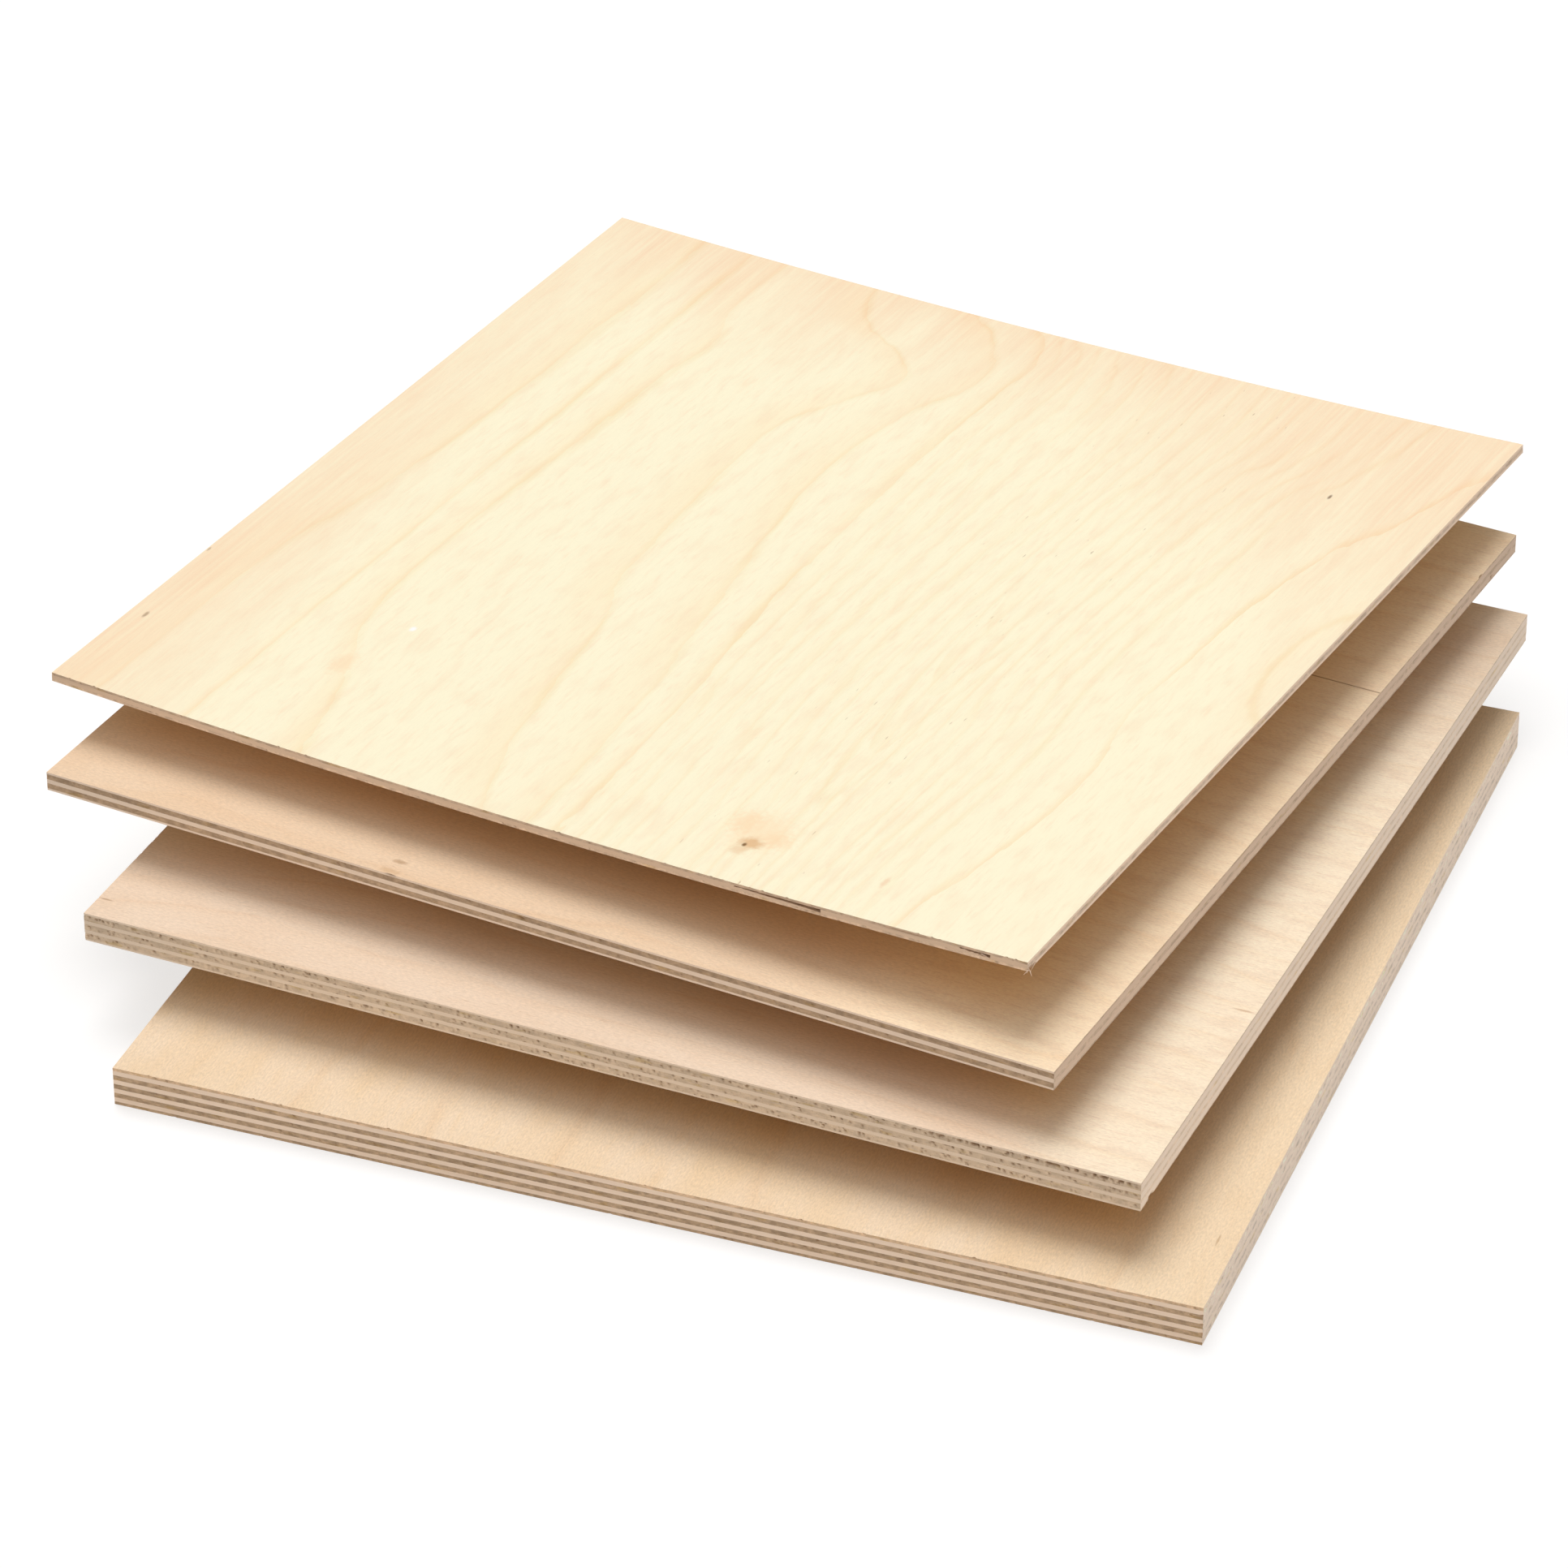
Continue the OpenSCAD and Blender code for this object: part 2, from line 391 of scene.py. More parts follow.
knots = {  # what lies on the faces: place from the sheet's middle and half sizes, in millimetres
    "top": [
        {"place": (59.1, -129), "size": (12, 14), "tone": (251, 226, 190), "share": 0.6, "ragged": 0.9},
        {"place": (52.6, -126), "size": (6, 8), "tone": (250, 216, 174), "share": 0.4, "ragged": 1.0},
        {"place": (64.6, -130.6), "size": (7, 5), "tone": (250, 216, 174), "share": 0.4, "ragged": 1.0},
        {"place": (59.1, -134.7), "size": (4.6, 4.0), "tone": (224, 182, 134), "share": 0.8, "ragged": 0.6},
        {"place": (57.6, -138.7), "size": (3.4, 3.6), "tone": (236, 204, 164), "share": 0.6, "ragged": 0.6},
        {"place": (57.8, -136.1), "size": (0.9, 1.3), "tone": (120, 90, 56), "share": 0.9, "ragged": 0.3},
        {"place": (-85.3, -108.7), "size": (4.5, 9), "tone": (250, 218, 180), "share": 0.4, "ragged": 1.0},
        {"place": (100, -135.8), "size": (1.2, 4), "tone": (236, 192, 152), "share": 0.45, "ragged": 0.9},
        {"place": (-146.6, -115.2), "size": (0.8, 2.4), "tone": (150, 120, 92), "share": 0.6, "ragged": 0.4},
        {"place": (-151.0, -76.7), "size": (0.5, 1.6), "tone": (150, 120, 92), "share": 0.5, "ragged": 0.4},
        {"place": (114.7, 101.7), "size": (0.7, 2), "tone": (120, 92, 70), "share": 0.8, "ragged": 0.3},
        {"place": (-78.3, -83.9), "size": (1.3, 1.8), "tone": (255, 255, 255), "share": 1.0, "ragged": 0.3},
    ],
    "upper": [
        {"place": (0, 54.8), "size": (420, 0.42), "tone": (150, 112, 78), "share": 0.8, "ragged": 0.1},
        {"place": (-44.7, -146.5), "size": (3.2, 1.3), "tone": (176, 140, 104), "share": 0.6, "ragged": 0.8},
        {"place": (-45, -151.6), "size": (4.4, 1.6), "tone": (214, 178, 138), "share": 0.6, "ragged": 1.2},
    ],
    "lower": [
        {"place": (149.5, -69.7), "size": (4, 0.6), "tone": (200, 160, 118), "share": 0.6, "ragged": 0.3},
        {"place": (-150.6, -144.6), "size": (2.8, 0.5), "tone": (170, 132, 96), "share": 0.6, "ragged": 0.3},
    ],
    "bottom": [
        {"place": (146.8, -123), "size": (0.5, 3.5), "tone": (190, 156, 118), "share": 0.6, "ragged": 0.3},
    ],
}


def planOf(node):  # place, turn and size of a square-cut node, seen from above
    points = [vertex.co for vertex in nodes[node].data.vertices]
    frontLeft = min(points, key=lambda p: p.x + p.y)
    frontRight = max(points, key=lambda p: p.x - p.y)
    backLeft = min(points, key=lambda p: p.x - p.y)
    backRight = max(points, key=lambda p: p.x + p.y)
    middle = (frontLeft + frontRight + backLeft + backRight) / 4
    front = (frontRight - frontLeft).to_2d()
    flank = (backLeft - frontLeft).to_2d()
    low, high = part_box(node)
    return {"middle": Vector((middle.x, middle.y, low.z)), "turn": math.atan2(front.y, front.x),
            "width": front.length, "length": flank.length, "height": high.z - low.z}


def circleThrough(first, second, third):  # centre and radius of the circle on three points
    (ax, ay), (bx, by), (cx, cy) = first, second, third
    twice = 2 * (ax * (by - cy) + bx * (cy - ay) + cx * (ay - by))
    aa, bb, cc = ax * ax + ay * ay, bx * bx + by * by, cx * cx + cy * cy
    x = (aa * (by - cy) + bb * (cy - ay) + cc * (ay - by)) / twice
    y = (aa * (cx - bx) + bb * (ax - cx) + cc * (bx - ax)) / twice
    return x, y, math.hypot(ax - x, ay - y)


def onSheet(sheet, node):  # a node's points, seen from the middle of its sheet
    turned = Matrix.Rotation(-sheet["turn"], 4, "Z") @ Matrix.Translation(-sheet["middle"])
    return [turned @ vertex.co for vertex in nodes[node].data.vertices]


def cupOf(sheet):  # the drum that the top sheet is bent round, from the front edge of its back veneer
    edge = [p for p in onSheet(sheet, "top_back") if p.y < -sheet["length"] / 2 + 0.1 * mm]
    ends = min(edge, key=lambda p: p.x), min(edge, key=lambda p: p.z), max(edge, key=lambda p: p.x)
    x, z, radius = circleThrough(*((p.x, p.z) for p in ends))
    left, right = [math.asin((p.x - x) / radius) for p in (ends[0], ends[2])]
    return {"x": x, "z": z, "radius": radius, "lean": (left + right) / 2, "arc": radius * (right - left)}


def layersOf(name, sheet):  # veneers of a sheet from its back to its face, with their heights on it
    names = [n for n in nodes if n.startswith(name + "_") and "sticker" not in n]
    layers = []
    for node in names:
        points = onSheet(sheet, node)
        if "cup" in sheet:
            cup = sheet["cup"]
            heights = [cup["radius"] - math.hypot(p.x - cup["x"], p.z - cup["z"]) for p in points]
        else:
            heights = [p.z for p in points]
        layers.append({"node": node, "low": min(heights), "high": max(heights)})
    return sorted(layers, key=lambda layer: layer["low"])


sheets = {}
for name in sheetLooks:
    sheets[name] = planOf(name + "_back")
    if name == "top":
        sheets[name]["cup"] = cupOf(sheets[name])
        sheets[name]["width"] = sheets[name]["cup"]["arc"]
    sheets[name]["half"] = sheets[name]["width"] / 2, sheets[name]["length"] / 2
    sheets[name]["layers"] = layersOf(name, sheets[name])
print("sheets measured:", {name: len(sheet["layers"]) for name, sheet in sheets.items()})
cup = sheets["top"]["cup"]
print("cup radius %.3f m, lean %.2f degrees" % (cup["radius"], math.degrees(cup["lean"])))


# Materials. Each reads Object coordinates, turned to the sheet and scaled to millimetres.
def newMaterial(name, sheet):
    material = bpy.data.materials.new(name)
    material.use_nodes = True
    tree = material.node_tree
    mapping = tree.nodes.new("ShaderNodeMapping")
    mapping.vector_type = "TEXTURE"
    mapping.inputs["Location"].default_value = sheet["middle"]
    mapping.inputs["Rotation"].default_value = (0, 0, sheet["turn"])
    mapping.inputs["Scale"].default_value = (mm, mm, mm)
    feed(tree, mapping.inputs["Vector"], tree.nodes.new("ShaderNodeTexCoord").outputs["Object"])
    return material, tree, mapping.outputs["Vector"]


def alongGrain(tree, place, grain):  # turns a place on the sheet so that the grain lies along X
    if grain == "X":
        return place
    axes = splitXyz(tree, place)
    return joinXyz(tree, axes["Y"], axes["X"], axes["Z"])


def addBump(tree, height, strength, depth):
    bump = tree.nodes.new("ShaderNodeBump")
    bump.inputs["Strength"].default_value = strength
    bump.inputs["Distance"].default_value = depth * mm
    feed(tree, bump.inputs["Height"], height)
    return bump.outputs["Normal"]


def finishWood(tree, colour, roughness, normal):
    shader = tree.nodes["Principled BSDF"]
    feed(tree, shader.inputs["Base Color"], colour)
    feed(tree, shader.inputs["Roughness"], roughness)
    feed(tree, shader.inputs["Normal"], normal)
    shader.inputs["Specular IOR Level"].default_value = fibre["sheen"]


# Figure of the top face: grain lines from the left, each a list of (distance from the back edge, distance
# from the left edge), and the number of growth rings between a line and the one before it
topFigure = {
    "lines": [
        {"rings": 1, "shade": 22,
         "path": [(0, 30.4), (76, 30.4), (127, 29), (172, 24), (215, 19), (304, 15)]},
        {"rings": 1, "shade": 6,
         "path": [(0, 47), (51, 47), (127, 45.6), (177, 43.6), (304, 44)]},
        {"rings": 1, "shade": 12,
         "path": [(0, 59.5), (33, 59.5), (46, 63), (76, 61), (127, 59.5), (177, 57), (215, 57), (241, 61),
                  (268, 73), (304, 81)]},
        {"rings": 1, "shade": 20,
         "path": [(0, 91), (21, 101), (29, 114), (43, 124), (63, 116), (89, 105), (109, 105), (165, 108),
                  (185, 110), (210, 118), (248, 124), (271, 128), (304, 139)]},
        {"rings": 1, "shade": 18,
         "path": [(0, 127), (11, 137), (27, 145), (38, 145), (56, 138), (81, 132), (109, 131), (142, 135),
                  (175, 139), (198, 142), (233, 148), (266, 152), (304, 154)]},
        {"rings": 1, "shade": 7,
         "path": [(0, 148), (15, 154), (38, 153), (71, 151), (114, 151), (162, 153), (198, 156), (236, 160),
                  (266, 162), (304, 163)]},
        {"rings": 3, "shade": 5,
         "path": [(0, 166), (25, 173), (63, 171), (127, 172), (190, 173), (228, 175), (279, 180),
                  (304, 181)]},
        {"rings": 3, "shade": 5,
         "path": [(0, 191), (33, 197), (101, 195), (152, 193), (215, 194), (253, 199), (304, 203)]},
        {"rings": 11, "shade": 3,
         "path": [(0, 276), (38, 268), (51, 262), (109, 256), (177, 253), (215, 257), (266, 253),
                  (304, 253)]},
        {"rings": 1, "shade": 4,
         "path": [(0, 310), (25, 301), (114, 275), (152, 273), (177, 270), (215, 275), (279, 268),
                  (304, 265)]},
    ],
    "before": -12.0,  # a line that would lie past the left edge
    "lineWidth": 2.5,
    "closeWidth": 1.3,  # of the lines that lie close together
    "closeShare": 0.5,
    "waver": 2.2,  # how far the lines waver, in millimetres
    "fray": 1.8,
    "uneven": 7,
    "half": 152,  # distance of the left and the back edge from the middle
    "reach": 320,  # the paths are drawn on a square of this size
    "arch": {"across": 217, "width": 19, "tip": 266, "rings": 8, "share": 0.7},  # they open to the back
    "eye": {"place": (156, 12), "size": (14, 34)},  # rings round a knot that lay beyond the right edge
    "dash": {"across": 62, "fade": (40, 10), "share": 0.45, "tone": (168, 128, 90)},  # long pores
}


def grainPath(tree, along, points, reach):
    curve = tree.nodes.new("ShaderNodeFloatCurve")
    line = curve.mapping.curves[0].points
    line[0].location = (points[0][0] / reach, points[0][1] / reach)
    line[1].location = (points[-1][0] / reach, points[-1][1] / reach)
    for down, across in points[1:-1]:
        line.new(down / reach, across / reach)
    curve.mapping.update()
    feed(tree, curve.inputs["Value"], calc(tree, "DIVIDE", along, reach))
    return calc(tree, "MULTIPLY", curve.outputs["Value"], reach)


def drawTopFigure(tree, place):
    axes, half = splitXyz(tree, place), topFigure["half"]
    down = calc(tree, "SUBTRACT", half, axes["Y"])
    slow = drawnNoise(tree, place, (14, 40, 0), detail=3)
    quick = drawnNoise(tree, place, (2, 9, 0))
    uneven = drawnNoise(tree, place, (7, 220, 0), detail=1)
    waver = calc(tree, "MULTIPLY", offMiddle(tree, slow), topFigure["waver"])
    waver = calc(tree, "MULTIPLY_ADD", offMiddle(tree, quick), topFigure["fray"], waver)
    waver = calc(tree, "MULTIPLY_ADD", offMiddle(tree, uneven), topFigure["uneven"], waver)
    across = calc(tree, "ADD", calc(tree, "ADD", axes["X"], half), waver)
    before = topFigure["before"]
    line = shade = 0.0
    for entry in topFigure["lines"]:
        path = grainPath(tree, down, entry["path"], topFigure["reach"])
        lone = entry["rings"] == 1
        band = useGroup(tree, ringBandGroup, Across=across, Left=before, Right=path, Rings=entry["rings"],
                        LineWidth=topFigure["lineWidth" if lone else "closeWidth"], ShadeWidth=entry["shade"])
        strength = 1.0 if lone else topFigure["closeShare"]
        line = calc(tree, "MULTIPLY_ADD", band["Line"], strength, line)
        shade = calc(tree, "MULTIPLY_ADD", band["Shade"], strength, shade)
        before = path
    arch, eye = topFigure["arch"], topFigure["eye"]
    offset = calc(tree, "DIVIDE", calc(tree, "SUBTRACT", across, arch["across"]), arch["width"])
    level = calc(tree, "MULTIPLY_ADD", offset, offset, calc(tree, "DIVIDE", down, arch["tip"]))
    inside = calc(tree, "MULTIPLY", ramp(tree, level, 1.0, 0.97), ramp(tree, level, 0.5, 0.7))
    part = calc(tree, "FRACT", calc(tree, "MULTIPLY", level, arch["rings"]))
    rings = calc(tree, "MULTIPLY", ramp(tree, part, 0.4, 0.95), ramp(tree, part, 1.0, 0.95))
    nearTip = ramp(tree, calc(tree, "ABSOLUTE", offset), 0.6, 0.2)
    tips = calc(tree, "MULTIPLY", calc(tree, "MULTIPLY", rings, inside), nearTip)
    line = calc(tree, "MULTIPLY_ADD", tips, arch["share"], line)
    broken = drawnNoise(tree, place, (7, 70, 0), detail=3)
    line = calc(tree, "MULTIPLY", line, ramp(tree, broken, 0.32, 0.6, 0.25, 1))
    wavered = joinXyz(tree, calc(tree, "ADD", axes["X"], waver), axes["Y"], 0)
    away = vectorCalc(tree, "SUBTRACT", wavered, (*eye["place"], 0))
    reach = vectorCalc(tree, "LENGTH", vectorCalc(tree, "DIVIDE", away, (*eye["size"], 1)))
    around = calc(tree, "ABSOLUTE", calc(tree, "SUBTRACT", reach, 1))
    line = calc(tree, "ADD", line, ramp(tree, around, 0.12, 0))
    shade = calc(tree, "MULTIPLY_ADD", ramp(tree, around, 0.5, 0), 0.5, shade)
    fade = ramp(tree, drawnNoise(tree, place, (25, 60, 0)), 0.3, 0.65, 0.6, 1)
    return calc(tree, "MULTIPLY", line, fade, clamp=True), calc(tree, "MULTIPLY", shade, fade, clamp=True)


topWarm = {  # where the warm wood of the top face starts and where it is full, in millimetres
    "left": (-104, -168),
    "right": (128, 180),
    "back": (86, 170),
    "corner": (96, 238),
    "cloud": (16, 120, 0),  # cells of the clouds that break it up
    "cloudAcross": 40,  # how far the clouds shift it
    "cloudAlong": 110,
    "slant": 0.07,  # the left zone widens to the front
    "cornerSlant": 0.75,
    "streak": (1.8, 50, 0),
    "streakLevel": (0.5, 1.15),
}


def topWarmth(tree, place):  # along the left and right edges, along the back and at the right back corner
    axes = splitXyz(tree, place)
    cloud = offMiddle(tree, drawnNoise(tree, place, topWarm["cloud"], detail=3))
    fromFront = calc(tree, "MULTIPLY_ADD", cloud, topWarm["cloudAlong"], axes["Y"])
    fromLeft = calc(tree, "MULTIPLY_ADD", cloud, topWarm["cloudAcross"], axes["X"])
    fromLeft = calc(tree, "MULTIPLY_ADD", axes["Y"], topWarm["slant"], fromLeft)
    cornerwise = calc(tree, "MULTIPLY_ADD", axes["X"], topWarm["cornerSlant"], fromFront)
    warmth = ramp(tree, fromLeft, *topWarm["left"])
    for way, label in ((fromLeft, "right"), (fromFront, "back"), (cornerwise, "corner")):
        warmth = calc(tree, "MAXIMUM", warmth, ramp(tree, way, *topWarm[label]))
    streaks = drawnNoise(tree, place, topWarm["streak"], detail=3, roughness=0.6)
    level = ramp(tree, streaks, 0.3, 0.7, *topWarm["streakLevel"], smooth=False)
    return calc(tree, "MULTIPLY", warmth, level)


def makeFace(name, side):  # side is face or back
    sheet, look = sheets[name], sheetLooks[name]
    material, tree, place = newMaterial("%s_%s_wood" % (name, side), sheet)
    lying = alongGrain(tree, place, look["grain"])
    isFace = side == "face"
    isTop = isFace and name == "top"
    colour = tone(*(look["pale"] if isFace else underTone))
    if isTop:
        line, shade = drawTopFigure(tree, place)
        warmth = topWarmth(tree, place)
    else:
        figure = useGroup(tree, plainFigureGroup, Vector=lying, Pitch=look["pitch"], Wander=look["wander"])
        line, shade = figure["Line"], figure["Shade"]
        warmth = ramp(tree, drawnNoise(tree, lying, (80, 30, 0)), 0.4, 0.7)
    # painted light: the face is painted paler near the right edge, as if more light fell there, fading to the
    # back
    if "paintedLight" in look and isFace:
        axes = splitXyz(tree, place)
        atBack = ramp(tree, axes["Y"], *paintedLightFade, 1, look["far"])
        paintedLightShare = calc(tree, "MULTIPLY", ramp(tree, axes["X"], *look["near"]), atBack)
        colour = blendTone(tree, paintedLightShare, colour, tone(*look["paintedLight"]))
        warmth = calc(tree, "MULTIPLY", warmth, calc(tree, "SUBTRACT", 1, paintedLightShare))
    grain = useGroup(tree, fibreGroup, Vector=lying, Length=fibre["length"], Width=fibre["width"])
    colour = blendTone(tree, warmth, colour, tone(*look["warm"]))
    for label, mask in (("shade", shade), ("line", line)):
        share = calc(tree, "MULTIPLY", mask, look[label + "Share"])
        colour = blendTone(tree, share, colour, tone(*look[label]), "MULTIPLY")
    pores = calc(tree, "MULTIPLY", grain["Pores"], look["poreShare"])
    colour = blendTone(tree, pores, colour, tone(*fibre["poreTone"]))
    if isTop:
        dash = topFigure["dash"]
        dashes = ramp(tree, drawnNoise(tree, lying, (5, 0.8, 0), detail=1), 0.74, 0.8)
        aside = calc(tree, "ABSOLUTE", calc(tree, "SUBTRACT", splitXyz(tree, place)["X"], dash["across"]))
        closeBy = calc(tree, "MULTIPLY", ramp(tree, aside, *dash["fade"]), dash["share"])
        colour = blendTone(tree, calc(tree, "MULTIPLY", dashes, closeBy), colour, tone(*dash["tone"]))
    for length, width, least in fibre["flecks"]:
        flecks = drawnNoise(tree, lying, (length, width, 0))
        flecks = calc(tree, "MULTIPLY", ramp(tree, flecks, least, 0.75), look["fleck"])
        colour = blendTone(tree, flecks, colour, tone(*look["warm"]))
    level = ramp(tree, grain["Streak"], 0.25, 0.75, 1 - fibre["contrast"], 1, smooth=False)
    mottle = drawnNoise(tree, lying, (1.4, 0.55, 0), roughness=0.7)
    mottle = ramp(tree, mottle, 0.3, 0.7, 1 - look["mottle"], 1 + look["mottle"], smooth=False)
    level = calc(tree, "MULTIPLY", level, mottle)
    colour = scaleTone(tree, colour, level)
    flat = vectorCalc(tree, "MULTIPLY", place, (1, 1, 0))
    for mark in knots[name] if isFace else ():
        spot = useGroup(tree, spotGroup, Vector=flat, Place=(*mark["place"], 0), Size=(*mark["size"], 1),
                        Ragged=mark["ragged"])
        share = calc(tree, "MULTIPLY", spot["Mask"], mark["share"])
        colour = blendTone(tree, share, colour, tone(*mark["tone"]))
    roughness = ramp(tree, grain["Streak"], 0.2, 0.8, 0.7, 0.82)
    height = calc(tree, "SUBTRACT", grain["Streak"], grain["Pores"])
    finishWood(tree, colour, roughness, addBump(tree, height, 0.12, 0.12))
    return material


sawn = {
    "speck": (150, 118, 86),
    "speckShare": {"end": 0.3, "long": 0.15},
    "stain": (242, 233, 188),
    "stainShare": 0.5,
    # colour of the torn places and dents: partly the torn fibres' own, partly painted shade in their hollows
    "pit": (128, 92, 58),
    "pitShare": 0.75,
    "flank": 0.95,  # how much of all this the left and right sides have
    "fibreLength": 14,
    "fibreWidth": 0.3,
}


def makeEdge(name, kind, axis):  # a sawn side of a veneer whose grain lies along the axis
    sheet, look = sheets[name], sheetLooks[name]
    rough = 1.0 if (kind == "end") == (axis == "Y") else sawn["flank"]
    material, tree, place = newMaterial("%s_%s_%s_wood" % (name, kind, axis.lower()), sheet)
    lying = alongGrain(tree, place, axis)
    shift = tree.nodes.new("ShaderNodeAttribute")
    shift.attribute_name = "tone"
    pit = tree.nodes.new("ShaderNodeAttribute")
    pit.attribute_name = "pit"
    if kind == "end":
        blotch = drawnNoise(tree, lying, (60, 2.6, 1.2), detail=3, roughness=0.6)
        specks = ramp(tree, drawnNoise(tree, lying, (20, 0.5, 0.35), detail=1), 0.62, 0.75)
        height = calc(tree, "SUBTRACT", blotch, specks)
        spread = look["blotch"] * rough
        level = ramp(tree, blotch, 0.34, 0.66, 1 - spread, 1 + spread, smooth=False)
        level = calc(tree, "MULTIPLY", level, shift.outputs["Fac"])
        stain = ramp(tree, drawnNoise(tree, lying, (80, 7, 1.6)), 0.58, 0.7, 0, sawn["stainShare"] * rough)
        roughness = ramp(tree, blotch, 0.3, 0.7, 0.85, 0.7)
    else:
        grain = useGroup(tree, fibreGroup, Vector=lying, Length=sawn["fibreLength"], Width=sawn["fibreWidth"])
        specks = grain["Pores"]
        height = grain["Streak"]
        level = ramp(tree, grain["Streak"], 0.25, 0.75, 0.94, 1.05, smooth=False)
        roughness = ramp(tree, grain["Streak"], 0.2, 0.8, 0.6, 0.75)
        stain = 0.0
    colour = scaleTone(tree, tone(*look[kind + axis]), level)
    colour = blendTone(tree, stain, colour, tone(*sawn["stain"]), "MULTIPLY")
    specks = calc(tree, "MULTIPLY", specks, sawn["speckShare"][kind] * rough)
    colour = blendTone(tree, specks, colour, tone(*sawn["speck"]))
    # torn places and dents get darker the deeper they go: partly the torn fibres' own colour, partly painted
    # shade in the hollow
    pits = calc(tree, "MULTIPLY", pit.outputs["Fac"], sawn["pitShare"])
    colour = blendTone(tree, pits, colour, tone(*sawn["pit"]))
    finishWood(tree, colour, roughness, addBump(tree, height, 0.3, 0.2))
    return material


sheetWoods = {}
for name in sheetLooks:
    sheetWoods[name] = {side: makeFace(name, side) for side in ("face", "back")}
    for axis in "XY":
        for kind in ("end", "long"):
            sheetWoods[name][kind + axis] = makeEdge(name, kind, axis)
print("materials made:", len(bpy.data.materials))


# Selecting in edit mode, by place
def startEdit(mode):
    bpy.ops.object.mode_set(mode="EDIT")
    bpy.ops.mesh.select_mode(type=mode)
    bpy.ops.mesh.select_all(action="DESELECT")
    bpy.ops.object.mode_set(mode="OBJECT")


def pickEdges(piece, wanted):
    startEdit("EDGE")
    points = [vertex.co for vertex in piece.data.vertices]
    for edge in piece.data.edges:
        first, last = edge.vertices
        edge.select = wanted(points[first], points[last])
    bpy.ops.object.mode_set(mode="EDIT")


def pickFaces(piece, wanted):
    startEdit("FACE")
    for face in piece.data.polygons:
        face.select = wanted(face)
    bpy.ops.object.mode_set(mode="EDIT")


def cutEdges(piece, cuts, wanted):
    pickEdges(piece, wanted)
    bpy.ops.mesh.subdivide(number_cuts=cuts)
    bpy.ops.object.mode_set(mode="OBJECT")


def applyModifiers(piece):
    for modifier in list(piece.modifiers):
        bpy.ops.object.modifier_apply(modifier=modifier.name)


def startBlock(name, size, middle):
    bpy.ops.object.select_all(action="DESELECT")
    bpy.ops.mesh.primitive_cube_add(size=1, location=middle)
    block = bpy.context.object
    block.name = name
    block.data.name = name
    block.scale = size
    bpy.ops.object.transform_apply(location=True, rotation=False, scale=True)
    return block


def placeBlock(block, plan):  # from the middle of a plan to its place in the stack
    block.location = plan["middle"]
    block.rotation_euler = (0, 0, plan["turn"])
    bpy.ops.object.transform_apply(location=True, rotation=True, scale=False)


def stretcher(size):  # an empty whose scale stretches a displacement pattern
    empty = bpy.data.objects.new("guide", None)
    bpy.context.scene.collection.objects.link(empty)
    empty.scale = [part * mm for part in size]
    empty.location = [random.uniform(-1, 1) for part in range(3)]
    return empty


def newPattern(name, kind, edges=None):
    pattern = bpy.data.textures.new(name, kind)
    pattern.noise_scale = 1.0
    if edges:
        pattern.use_color_ramp = True
        full, none = pattern.color_ramp.elements
        full.position, none.position = edges
        full.color = (1, 1, 1, 1)
        none.color = (0, 0, 0, 1)
    return pattern


def addPush(piece, pattern, guide, way, depth, group=""):
    push = piece.modifiers.new(pattern.name, "DISPLACE")
    push.texture = pattern
    push.texture_coords = "OBJECT"
    push.texture_coords_object = guide
    push.direction = way
    push.mid_level = 0.0
    push.strength = depth * mm
    push.vertex_group = group


def applyPushes(piece, guides):
    bpy.context.view_layer.update()
    applyModifiers(piece)
    for guide in guides:
        bpy.data.objects.remove(guide)


smoothAngle = 40  # degrees, past which an edge stays sharp


def finishPiece(piece, node):
    bpy.ops.object.shade_smooth_by_angle(angle=math.radians(smoothAngle))
    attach(piece, "root")
    if node:
        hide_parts(node)


# Veneers
veneer = {
    "rowHeight": 0.4,  # height of a row of faces on a sawn side
    "endStep": 0.4,  # length of a face on a side across the grain
    "longStep": 1.0,  # the same on a side along the grain
    "inset": 1.5,  # frame of faces round the upper and lower side
    "cupCuts": 63,  # cuts across the cupped sheet
    "fuzz": {"end": 0.12, "long": 0.05},  # depth of the saw marks
    "flankFuzz": 0.4,  # share of that depth on the left and right sides, which were cut cleaner
    "mark": 0.7,  # size of a saw mark
    "longMark": 9,  # its length on a side along the grain
    "lowShare": 0.45,  # how deep the marks are at the lower edge of a veneer, beside the upper
    "tearShare": 0.2,  # how deep fibres are torn on the sides that are not the front
    "longPit": (2.5, 4),  # how much larger and longer a torn place is on a side along the grain
    "pitHeight": 0.6,  # height of a torn place, beside its length
    "pitSoft": 0.4,  # where its floor ends, beside its edge
    "pitFrom": 0.14,  # depth at which it starts to look darker
    "pitFull": 0.6,  # where it is darkest, as a share of the full depth
    "pitLeast": 0.2,  # full depth of a sheet that is hardly torn
    "pitReach": 1.35,  # points further in than this belong to no side
    "dentReach": 1.2,  # dents move no points further in
    "toneSpread": 0.08,
}
